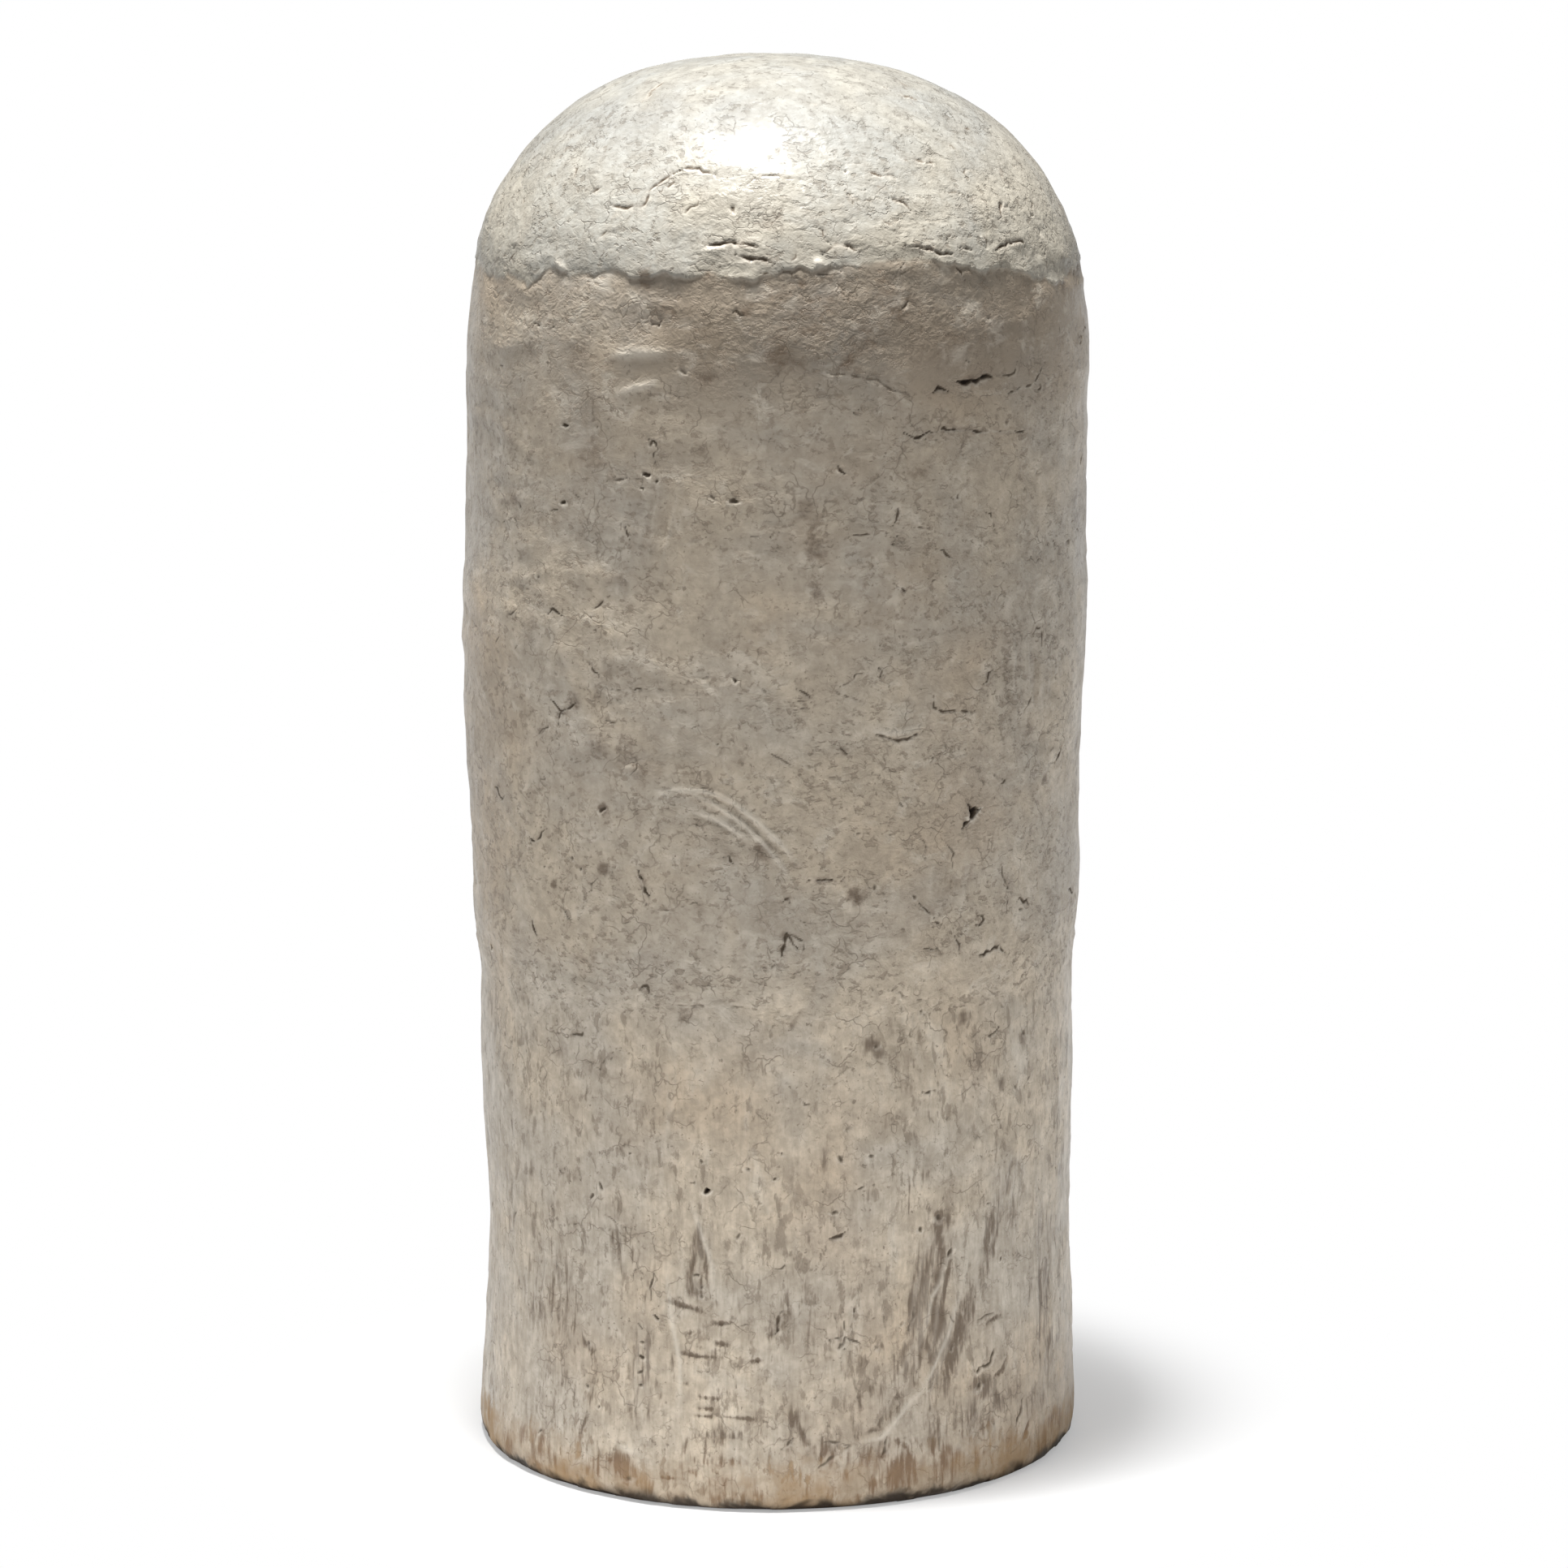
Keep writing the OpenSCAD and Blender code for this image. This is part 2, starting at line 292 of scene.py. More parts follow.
        (4, 1.2, [(-45, 746), (-43, 743), (-41, 741)]), (5, 1.6, [(7, 750), (9, 748)]),
        (3, 1.2, [(-13, 756), (-9, 757)]), (3.4, 0.6, [(-16, 429), (-9, 420), (-5, 412)]),
        (3.2, 0.9, [(-16, 440), (-11, 433), (-6, 421), (-2, 409), (1, 396), (3, 384)]),
        (3, 0.8, [(-12, 441), (-7, 433), (-3, 422), (1, 409), (4, 396)]),
        (3, 0.6, [(-22, 436), (-18, 440), (-13, 440), (-8, 437)]),
        (3, 0.5, [(-16, 189), (-14, 170), (-12, 150), (-12, 134)]),
        (3, 0.5, [(-21, 148), (-20, 118), (-18, 89), (-18, 59)]),
        (3.2, 0.6, [(35, 152), (33, 133), (31, 124), (29, 100)]),
        (3.2, 0.7, [(39, 141), (35, 102), (31, 79), (29, 70)]),
        (3, 0.6, [(17, 42), (20, 43), (23, 52), (26, 62), (30, 72)]), (3.6, 1, [(-30, 35), (-27, 32)]),
    ],
    # (width, strands, brown, places) of the passes of a stiff brush
    "sweeps": [
        (26, 10, 0.85, [(33, 170), (32, 150), (30, 125), (29, 100), (25, 76), (20, 58)]),
        (22, 9, 0.9, [(39, 124), (37, 104), (34, 80), (30, 56)]),
        (16, 6, 0.5, [(48, 192), (46, 166), (44, 147), (43, 128)]),
        (20, 7, 0.4, [(52, 205), (51, 180), (50, 150)]),
        (26, 8, 0.35, [(-51, 165), (-50, 140), (-51, 113), (-53, 86)]),
        (22, 7, 0.35, [(-46, 150), (-45, 122), (-43, 100), (-40, 86)]),
        (18, 6, 0.3, [(-33, 190), (-31, 160), (-29, 130)]),
        (14, 6, 0.6, [(-15, 178), (-14, 157), (-15, 142), (-14, 128)]),
        (14, 6, 0.5, [(-26, 110), (-26, 86), (-25, 46)]), (22, 7, 0.35, [(2, 150), (5, 120), (6, 95)]),
        (16, 7, 0.4, [(8, 135), (4, 118), (-2, 104)]), (24, 8, 0.5, [(64, 160), (64, 110), (64, 50)]),
        (26, 9, 0.5, [(35, 60), (33, 45), (31, 30)]), (24, 8, 0.45, [(46, 52), (42, 38), (38, 24)]),
        (30, 9, 0.3, [(47, 545), (50, 520), (50, 490), (52, 455)]),
        (26, 8, 0.3, [(58, 520), (57, 490), (56, 460)]), (30, 8, 0.3, [(-20, 640), (-22, 600), (-25, 560)]),
        (30, 8, 0.25, [(34, 410), (33, 380), (32, 350)]), (34, 9, 0.3, [(22, 300), (24, 275), (26, 250)]),
        (34, 9, 0.3, [(110, 160), (114, 110), (112, 60)]),
        (34, 9, 0.3, [(-118, 190), (-114, 130), (-116, 80)]),
        (34, 9, 0.3, [(172, 150), (176, 110), (174, 60)]),
    ],
    # (width, depth, places) of the rows of short strokes low on the front, which spell nothing
    "strokes": [
        (4, 0.9, [(-21, 128), (-17, 124), (-13, 121)]), (3.2, 0.7, [(-12, 115), (-8, 116)]),
        (3.4, 0.8, [(-18, 107), (-15, 110)]), (3.4, 0.7, [(-12, 103), (-8, 102)]),
        (3.2, 0.8, [(-18, 96), (-15, 94), (-9, 94)]), (3, 0.7, [(-6, 92), (-2, 94)]),
        (4.6, 1.2, [(-1, 106), (0, 113), (1, 120)]), (3, 0.6, [(-17, 79), (-17, 75)]),
        (3, 0.6, [(-15, 70), (-10, 69)]), (2.4, 0.4, [(-16, 58), (-11, 58)]),
        (2.4, 0.4, [(-9, 58), (-3, 57)]), (2.4, 0.4, [(-15, 63), (-11, 63)]),
    ],
    # (angle, height, tilt, how many): bands of short upright nicks, side by side
    "nickBands": [
        (-10.5, 47, 0, 12), (-10.5, 31, -0.1, 14), (-33, 26, 0, 5),
    ],
    # (radius, strength, place) of the brown stains; the broad soft ones just under the cap's seam, about 660
    # to 740 mm up, also paint shade there
    "stains": [
        (14, 0.45, (-24, 450)), (7, 0.6, (-33, 494)), (5, 1, (-32, 425)), (4, 0.9, (-44, 374)),
        (5, 1, (14, 378)), (5, 0.9, (15, 374)), (7, 0.9, (18, 285)), (6, 0.9, (19, 280)),
        (6, 0.8, (38, 295)), (6, 0.7, (54, 274)), (5, 0.7, (47, 249)), (4, 0.9, (59, 431)),
        (12, 0.65, (0, 697)), (14, 0.5, (-34, 636)), (7, 0.8, (-24, 739)), (10, 0.5, (-44, 269)),
        (8, 0.45, (-38, 264)), (10, 0.5, (22, 237)), (5, 0.5, (29, 202)), (5, 1, (32, 176)),
        (10, 0.6, (31, 135)), (11, 0.6, (29, 107)), (9, 0.6, (33, 90)), (8, 0.6, (27, 80)),
        (6, 0.9, (41, 65)), (6, 1, (-28, 15)), (8, 0.6, (21, 37)), (8, 0.6, (31, 32)), (5, 0.7, (18, 14)),
        (9, 0.6, (-2, 405)), (9, 0.5, (38, 383)), (5, 0.6, (7, 600)), (7, 0.6, (7, 558)),
        (10, 0.5, (52, 462)), (12, 0.4, (49, 515)), (9, 0.45, (17, 543)), (8, 0.4, (16, 47)),
        (9, 0.5, (-15, 137)), (7, 0.4, (-37, 60)), (7, 0.5, (0, 116)), (16, 0.35, (0, 727)),
        (16, 0.4, (10, 729)), (14, 0.4, (20, 732)), (6, 0.7, (4, 690)), (5, 0.7, (-5, 722)),
        (5, 0.7, (22, 718)), (6, 0.6, (12, 690)), (8, 0.5, (-12, 683)), (20, 0.4, (6, 716)),
        (14, 0.45, (17, 705)), (14, 0.4, (24, 722)), (18, 0.35, (32, 700)), (10, 0.45, (-20, 720)),
        (12, 0.4, (42, 712)), (12, 0.4, (-37, 690)), (12, 0.4, (-35, 662)), (9, 0.6, (5, 607)),
        (12, 0.6, (7, 585)), (6, 0.6, (-38, 487)), (9, 0.5, (-33, 462)), (12, 0.5, (-27, 458)),
        (8, 0.5, (-31, 505)), (5, 0.9, (-32, 390)), (4, 0.8, (-13, 640)), (10, 0.8, (43, 62)),
        (9, 0.7, (47, 50)), (12, 0.55, (40, 45)), (9, 0.6, (52, 56)), (14, 0.6, (31, 148)),
        (12, 0.6, (28, 120)), (8, 0.9, (33, 171)), (10, 0.65, (30, 88)), (9, 0.7, (34, 105)),
        (12, 0.5, (18, 30)), (14, 0.85, (24, 20)), (14, 0.8, (34, 20)), (10, 1, (-29, 22)),
        (8, 0.7, (-25, 12)), (8, 0.6, (-35, 18)), (10, 0.5, (-10, 10)), (7, 0.5, (-10.5, 47)),
        (7, 0.5, (-10.5, 31)), (10, 0.5, (58, 40)), (10, 0.6, (-50, 22)), (7, 0.5, (-14, 108)),
        (7, 0.45, (-12, 94)), (9, 0.5, (3, 60)), (9, 0.5, (9, 38)), (10, 0.8, (-62, 10)), (9, 0.8, (-52, 6)),
        (9, 0.7, (-44, 9)), (8, 0.7, (-18, 5)), (9, 0.6, (-5, 6)), (8, 0.6, (6, 9)), (9, 0.7, (62, 12)),
    ],
    # how many of each fall by chance over the whole column
    "chanceCracks": 600,
    "chancePits": 260,
    "chanceScores": 300,
    "chanceStains": 420,
}


# the masks of the skin, from 0 to 1, which the glaze reads
inks = [
    "crackInk",     # dark clay and painted shade, in cracks and pits, and painted shadow under the cap's seam
    "stainInk",     # brown, where clay or dirt shows, and painted shade in soft patches under the cap's seam
    "paleInk",      # painted highlight, on the lips of cracks and pits and on ridges
    "capInk",       # on the cap
    "shadeInk",     # darker glaze and painted shade under the cap's seam, and on patches of the cap
    "courseInk",    # on the lower course
]


# the lattice of the column's skin, with its relief in millimetres and its masks
class Surface:

    def __init__(self, node, columns, rows):
        self.columns = columns
        self.rows = rows
        self.places = formLattice(node, columns, rows)
        self.normals = latticeNormals(self.places)
        self.points = (self.places / mm).astype(np.float32)
        self.heights = self.points[..., 2].mean(axis=1)
        self.turns = (np.arange(columns) / columns * 360 - 90) % 360 - 180      # degrees from the front
        self.cellWidth = np.linalg.norm(np.diff(self.points[:, :2], axis=1)[:, 0], axis=1)
        # the rows lie evenly apart, so any two give how far
        self.cellHeight = float(np.linalg.norm(self.points[301, 0] - self.points[300, 0]))
        for name in ["relief", *inks]:
            setattr(self, name, np.zeros(self.points.shape[:2], np.float32))

    def spot(self, angle, height):
        # a place's column and row on the lattice, as fractions
        return (270 + angle) / 360 * self.columns, np.interp(height, self.heights, np.arange(self.rows + 1))

    def at(self, places):
        # places on the surface, in millimetres
        spots = np.array([self.spot(*place) for place in places])
        column = np.round(spots[:, 0]).astype(int) % self.columns
        row = np.clip(np.round(spots[:, 1]).astype(int), 0, self.rows)
        return self.points[row, column].astype(float)

    def window(self, path, margin):
        # the patch of the lattice within margin of a path, as index arrays that go round the seam
        turn = np.degrees(np.arctan2(path[:, 0], -path[:, 1]))
        turn = turn[0] + (turn - turn[0] + 180) % 360 - 180
        top = int(self.spot(0, path[:, 2].max())[1])
        # counted short of the pole, where the columns run together
        wide = margin / max(self.cellWidth[min(top, self.rows - 12)], 0.05)
        tall = margin / self.cellHeight
        left, right = self.spot(turn.min(), 0)[0], self.spot(turn.max(), 0)[0]
        columns = np.arange(int(left - wide), int(right + wide) + 2)
        columns = columns[:self.columns] % self.columns
        low, high = self.spot(0, path[:, 2].min())[1], self.spot(0, path[:, 2].max())[1]
        rows = np.arange(max(int(low - tall), 1), min(int(high + tall) + 2, self.rows))
        return np.ix_(rows, columns)

    def raiseMask(self, name, patch, values):
        # a mask keeps the larger of what it has and what is laid on it
        mask = getattr(self, name)
        mask[patch] = np.maximum(mask[patch], np.clip(values, 0, 1))

    def gap(self, path, margin):
        # For each lattice point near a path: how far it lies from the path's nearest segment, how
        # far along the path that is, from 0 to 1, and how far above it the point lies.
        patch = self.window(path, margin)
        here = self.points[patch][..., None, :]
        start, step = path[:-1], np.diff(path, axis=0)
        length = np.maximum((step * step).sum(-1), 1e-9)
        share = np.clip(((here - start) * step).sum(-1) / length, 0, 1)
        offset = here - start - share[..., None] * step
        away = np.linalg.norm(offset, axis=-1)
        nearest = away.argmin(-1)[..., None]
        pick = lambda field: np.take_along_axis(field, nearest, -1)[..., 0]
        return patch, pick(away), (pick(share) + nearest[..., 0]) / len(step), pick(offset[..., 2])


def wander(path, pace, jag, dice):
    # a path cut into steps of about pace, each new point knocked aside by up to jag
    pieces = []
    for start, end in zip(path[:-1], path[1:]):
        count = max(int(np.linalg.norm(end - start) / pace), 1)
        share = np.arange(count)[:, None] / count
        pieces.append(start + (end - start) * share)
    line = np.concatenate([*pieces, path[-1:]])
    line[1:-1] += dice.uniform(-jag, jag, line[1:-1].shape)
    return line


def addCrack(surface, width, depth, places, dice, ink=1.0):
    # A split of uneven width that narrows to its ends, darkened partly with painted shade. The skin above it
    # stands up as a lifted plate, and its lower lip carries a painted highlight.
    if places[0][1] > skin["capFrom"]:
        depth, ink = skin["capCracks"] * depth, skin["capCracks"] * ink
    elif places[0][1] < skin["lowerBelow"]:
        ink = skin["lowerCracks"] * ink
    line = wander(surface.at(places), 2.8, 0.9, dice)
    swell = dice.uniform(0.4, 1, len(line))
    swell[[0, -1]] = 0.15
    patch, distance, along, above = surface.gap(line, max(width * 2.5, 5))
    fade = np.sin(pi * np.clip(along, 0.05, 0.95)) ** 0.5
    half = width * 0.5 * np.interp(along, np.linspace(0, 1, len(line)), swell)
    split = np.sqrt(np.clip(1 - distance / half, 0, 1))
    plate = np.exp(-distance / (1.4 * width)) * smooth(-0.5, 0.5, above)
    lip = hump(distance, half * 1.9, half * 0.9) * smooth(0.5, -0.5, above)
    surface.relief[patch] += fade * depth * (0.35 * plate + 0.15 * lip) - depth * split
    dark = ink * min(0.22 + 0.45 * depth, 1) * smooth(-0.45, 0.6, 1 - distance / half)
    surface.raiseMask("crackInk", patch, dark * (0.5 + 0.5 * half / (width * 0.5)))
    surface.raiseMask("paleInk", patch, 0.5 * min(depth, 1) * fade * lip)
    surface.raiseMask("stainInk", patch, 0.5 * ink * min(depth, 1.4) * fade * hump(distance, 0, width * 1.3))


def addPit(surface, radius, depth, place, dice, ink=1.0):
    # a hole, pulled out a little one way, with a rounded bottom, darkened partly with painted shade, and a
    # painted highlight on its lower lip
    middle = surface.at([place])
    pull = dice.uniform(-1, 1, 3) * radius * 0.8
    patch, distance, along, above = surface.gap(np.concatenate([middle - pull, middle + pull]), radius * 2.4)
    radius = radius * (0.55 + 0.25 * along) * (1 + 0.5 * cloud(surface.points[patch], 2.5, 16))
    hole = np.clip(1 - (distance / (radius * 0.9)) ** 2, 0, 1)
    lip = hump(distance, radius * 1.35, radius * 0.5)
    surface.relief[patch] += 0.15 * depth * lip - depth * hole
    surface.raiseMask("crackInk", patch, ink * 0.45 * depth * smooth(1.1, 0.2, distance / radius))
    surface.raiseMask("paleInk", patch, 0.5 * depth * lip * smooth(0.3, -0.3, above))


def addGroove(surface, width, depth, places, brown=0.0, pale=0.0, lip=0.35):
    # a round-bottomed drag with soft banks, or a ridge where depth is below 0; pale paints a highlight along
    # it
    patch, distance, along, above = surface.gap(surface.at(places), width * 1.8)
    fade = np.sin(pi * np.clip(along, 0.02, 0.98)) ** 0.5
    half = width * 0.5
    inside = fade * hump(distance, 0, half)
    surface.relief[patch] += depth * (lip * fade * hump(distance, half * 1.6, half * 0.6) - inside)
    surface.raiseMask("stainInk", patch, brown * inside)
    surface.raiseMask("paleInk", patch, pale * inside)


def addSweep(surface, width, strands, brown, places, dice):
    # One pass of a stiff brush: a brown veil, and strands side by side along the same path, each
    # starting and ending where it likes: a groove is brown, and a ridge carries a painted highlight.
    places = np.array(places, float)
    heading = np.gradient(places, axis=0) * (degreeWidth, 1)
    heading /= np.linalg.norm(heading, axis=1, keepdims=True)
    sideways = np.stack([heading[:, 1] / degreeWidth, -heading[:, 0]], axis=1)
    share = np.linspace(0, 1, len(places))
    patch, distance, along, above = surface.gap(surface.at(places), width * 0.8)
    veil = np.sin(pi * np.clip(along, 0.02, 0.98)) ** 0.4 * smooth(width * 0.65, width * 0.25, distance)
    surface.raiseMask("stainInk", patch, 0.8 * brown * veil)
    for k in range(strands):
        shift = width * ((k + dice.uniform(0.2, 0.8)) / strands - 0.5)
        start, end = dice.uniform(0, 0.35), dice.uniform(0.65, 1)
        steps = np.linspace(start, end, 7)
        line = places + sideways * shift
        line = np.stack([np.interp(steps, share, line[:, 0]), np.interp(steps, share, line[:, 1])], axis=1)
        line[:, 1] = np.maximum(line[:, 1], 7)
        thick = dice.uniform(2.2, 4.2)
        if dice.random() < 0.8:
            addGroove(surface, thick, dice.uniform(0.2, 0.5), line, brown=brown * dice.uniform(0.8, 1.6))
        else:
            addGroove(surface, thick, -dice.uniform(0.2, 0.4), line, pale=0.3, lip=0.0)


def addStain(surface, radius, strength, place):
    # a soft blot
    middle = surface.at([place])
    patch, distance, along, above = surface.gap(np.concatenate([middle, middle + 0.01]), radius * 2.2)
    surface.raiseMask("stainInk", patch, strength * smooth(1.3, 0.3, distance / radius))


def handRelief(surface):
    # Broad swells all over, broken coil ridges on the upper wall, dimples, creases and crumbs, and
    # upright drags below that thin out upwards.
    points, height = surface.points, surface.points[..., 2]
    upper = smooth(300, 380, height) * (1 - 0.6 * smooth(740, 770, height))
    relief = skin["swells"] * cloud(points, (95, 95, 60), 1) + skin["lumps"] * cloud(points, (38, 38, 24), 2)
    coils = np.abs(cloud(points, (75, 75, 17), 3)) * smooth(-0.3, 0.4, cloud(points, 110, 4))
    relief -= skin["coils"] * upper * coils
    relief += skin["dimples"] * cloud(points, (21, 21, 14), 5)
    creases = np.abs(cloud(points, (34, 34, 20), 10)) ** 0.8
    relief += skin["creases"] * np.minimum(creases, 0.35) * smooth(-0.2, 0.3, cloud(points, 90, 18))
    crumbs = np.maximum(clouds(points, (14, 14, 9), 2, 8) - 0.3, 0)
    relief -= skin["crumbs"] * crumbs * smooth(0, 0.4, cloud(points, 70, 9))
    drags = cloud(points, (11, 11, 90), 7) * (1 - smooth(120, 360, height))
    return relief + skin["drags"] * drags


def seamRelief(surface):
    # Over the seam line the cap stands proud and dies away upwards in scales. Right under the line
    # is a broken groove, and below that the wall is drawn in a little.
    points = surface.points
    ring = points[int(surface.spot(0, skin["seamHeight"])[1])]
    angles, heights = np.array(skin["seamLine"], float).T
    line = np.interp(surface.turns, angles, heights, period=360)
    line = line + 2.0 * cloud(ring, 17, 11) + 2.2 * clouds(ring, 8, 2, 12)
    above = points[..., 2] - line
    scales = 0.45 + 1.1 * cloud(points, (30, 30, 10), 13)
    ringWide = np.broadcast_to(ring, points.shape)
    broken = smooth(-0.25, 0.4, cloud(ringWide, (24, 24, 50), 14))
    proud = smooth(-1.0, 1.0, above) * np.exp(-np.maximum(above, 0) / 9)
    surface.relief += skin["seamDepth"] * proud * np.maximum(scales, 0.05)
    surface.relief -= 0.5 * broken * hump(above, -1.2, 1.3) + 0.5 * hump(above, -24, 20)
    # painted shadow in the broken groove under the cap's proud edge
    surface.crackInk = np.maximum(surface.crackInk, 0.22 * broken * hump(above, -0.8, 0.9))
    # painted shade under the seam, over a slightly darker glaze: deepest on the right, with patches on the
    # cap above it
    band = sum(strength * smooth(start, end, above) for strength, start, end in skin["shadeSteps"])
    band *= np.exp(np.minimum(above, 0) / skin["shadeFade"])
    deep = skin["deepShade"] * smooth(-35, -12, surface.turns) * smooth(72, 35, surface.turns)
    band += deep * smooth(1, -6, above) * smooth(-95, -35, above)
    for strength, angle, width, rise, height in skin["capShades"]:
        band += strength * hump(surface.turns, angle, width) * hump(above, rise, height)
    surface.shadeInk = np.minimum(band, 1).astype(np.float32)
    surface.relief += skin["puckers"] * hump(above, 16, 18) * np.abs(cloud(points, (17, 17, 8), 15))
    surface.capInk = smooth(-1.5, 1.5, above).astype(np.float32)


def jointRelief(surface):
    # crumbs and short shelves where the lower course was luted to the upper
    points = surface.points
    band = hump(points[..., 2] + 6 * cloud(points, (60, 60, 400), 21), skin["jointHeight"], 12)
    surface.relief += skin["jointRelief"] * band * cloud(points, (24, 24, 7), 22)
    line = skin["jointHeight"] - 6 + 9 * clouds(points, (34, 34, 60), 2, 23)
    surface.courseInk = smooth(5, -5, points[..., 2] - line).astype(np.float32)


def footRelief(surface):
    # the rim of the foot is nibbled away, more in some places than in others
    points = surface.points
    bite = np.clip(clouds(points, (16, 16, 40), 2, 31) + 0.1, 0, 1.2)
    surface.relief -= skin["footBite"] * bite * (1 - smooth(2, 12, points[..., 2]))


def chanceRelief(surface, dice):
    # What falls by chance: cracks that wander, pits, and upright brush scores below.
    for count in range(skin["chanceCracks"]):
        angle = dice.uniform(-180, 180)
        if dice.random() < 0.75:
            height = dice.uniform(20, 850)
        else:
            height = skin["seamHeight"] + 80 * dice.uniform(0, 1) ** 1.4    # crowded over the seam
        heading = dice.normal(0, 0.6)
        if height < skin["lowerBelow"] and dice.random() < 0.6:
            heading += pi / 2       # low on the wall most run upright
        reach = dice.uniform(1.5, 5)
        size = dice.uniform(0, 1) ** 2
        places = [(angle, height)]
        for leg in range(dice.integers(1, 5)):
            angle += reach * np.cos(heading) * 0.32     # degrees for each millimetre
            height = np.clip(height + reach * np.sin(heading), 8, 853)
            heading += dice.normal(0, 0.8)
            places.append((angle, height))
        addCrack(surface, 1.3 + 0.9 * size, 0.35 + 0.6 * size, places, dice, ink=1.15)
    for count in range(skin["chancePits"]):
        place = (dice.uniform(-180, 180), dice.uniform(12, 852))
        size = dice.uniform(0, 1) ** 3
        addPit(surface, 0.9 + 1.2 * size, 0.3 + 0.7 * size, place, dice, ink=0.7)
    for count in range(skin["chanceScores"]):
        angle = dice.uniform(-180, 180)
        height = dice.uniform(0, 1) ** 1.5 * 300 + 30
        length = dice.uniform(12, 50) * (1 - height / 600)
        lean = dice.normal(0, 1.5)
        low, high = max(height - length / 2, 8), height + length / 2
        places = [(angle - lean, low), (angle, height), (angle + lean, high)]
        addGroove(surface, dice.uniform(1.8, 3.4), dice.uniform(0.15, 0.4), places,
                  brown=dice.uniform(0.1, 0.6))


def chanceStains(surface, dice):
    # small brown blots all over, and a closer row of them along the foot
    for count in range(skin["chanceStains"]):
        low = dice.random() < 0.3
        place = (dice.uniform(-180, 180), dice.uniform(3, 24) if low else dice.uniform(20, 800))
        addStain(surface, dice.uniform(3, 9), dice.uniform(0.25, 0.75 if low else 0.55), place)


def nickBand(surface, angle, height, tilt, count, dice):
    # a band of short upright nicks, side by side
    for k in range(count):
        step = k - (count - 1) / 2
        turn, middle = angle + step * 0.8, height + step * tilt
        tall = dice.uniform(2.2, 4.2)
        places = [(turn, middle - tall), (turn + dice.normal(0, 0.2), middle + tall)]
        addGroove(surface, 2.0, 0.5, places, brown=dice.uniform(0.4, 0.9))


def buildRelief(surface):
    dice = np.random.default_rng(7)
    surface.relief += handRelief(surface)
    seamRelief(surface)
    jointRelief(surface)
    chanceRelief(surface, dice)
    chanceStains(surface, np.random.default_rng(12))
    for add, kind in ((addSweep, "sweeps"), (addCrack, "cracks"), (addPit, "pits")):
        for one in skin[kind]:
            add(surface, *one, dice)
    for width, depth, brown, places in skin["grooves"]:
        addGroove(surface, width, depth, places, brown=brown)
    # each ridge carries a painted highlight along it
    for width, height, places in skin["ridges"]:
        addGroove(surface, width, -height, places, pale=0.8, lip=0.0)
    for width, depth, places in skin["strokes"]:
        addGroove(surface, width, depth, places, brown=0.85)
    for band in skin["nickBands"]:
        nickBand(surface, *band, dice)
    for stain in skin["stains"]:
        addStain(surface, *stain)
    footRelief(surface)
    surface.relief *= smooth(0, 3, surface.points[..., 2])     # the underside's rim stays flat on the floor
    surface.relief[-9:] *= np.linspace(1, 0, 9)[:, None]       # and the crown's pole is one point


# the mesh has large faces where the skin is smooth, and small ones where it is broken
def patchError(field, size):
    # how far a field leaves the flat patch through each block's four corners, at most
    rows, columns = (field.shape[0] - 1) // size, (field.shape[1] - 1) // size
    corners = field[::size, ::size]
    worst = np.zeros((rows, columns), np.float32)
    for i in range(size + 1):
        for j in range(size + 1):
            u, v = i / size, j / size
            flat = ((1 - u) * ((1 - v) * corners[:-1, :-1] + v * corners[:-1, 1:])
                    + u * ((1 - v) * corners[1:, :-1] + v * corners[1:, 1:]))
            here = field[i::size, j::size][:rows, :columns]
            worst = np.maximum(worst, np.abs(here - flat))
    return worst


def chooseBlocks(errors, narrow, limit):
    # Blocks are halved, down to one cell, wherever their error passes the limit. Returns the low
    # corners of the blocks kept at each size.
    kept = {}
    alive = np.ones(errors[skin["blocks"][0]].shape, bool)
    for size in skin["blocks"]:
        split = alive & (errors[size] > limit) & ~narrow[size]
        kept[size] = np.argwhere(alive & ~split) * size
        alive = np.repeat(np.repeat(split, 2, axis=0), 2, axis=1)
    kept[1] = np.argwhere(alive)
    return kept


def blockRims(kept, rows, columns):
    # Each block's rim, anticlockwise from outside, keeps only the points that are some block's
    # corner, so that large and small blocks meet without gaps.
    corner = np.zeros((rows + 1, columns), bool)
    for size, low in kept.items():
        for i in (0, size):
            for j in (0, size):
                corner[low[:, 0] + i, (low[:, 1] + j) % columns] = True
    rims = []
    for size, low in kept.items():
        step = np.arange(size)
        full = np.full(size, size)
        down = np.concatenate([0 * step, step, full, size - step])
        over = np.concatenate([step, full, size - step, 0 * step])
        row = low[:, :1] + down
        column = (low[:, 1:] + over) % columns
        used = corner[row, column]
        used &= ~((row == rows) & (np.arange(4 * size) != 2 * size))   # the pole is used once
        rims.append((row, column, used))
    return corner, rims


def countTriangles(rims):
    return int(sum((used.sum(axis=1) - 2).sum() for row, column, used in rims))


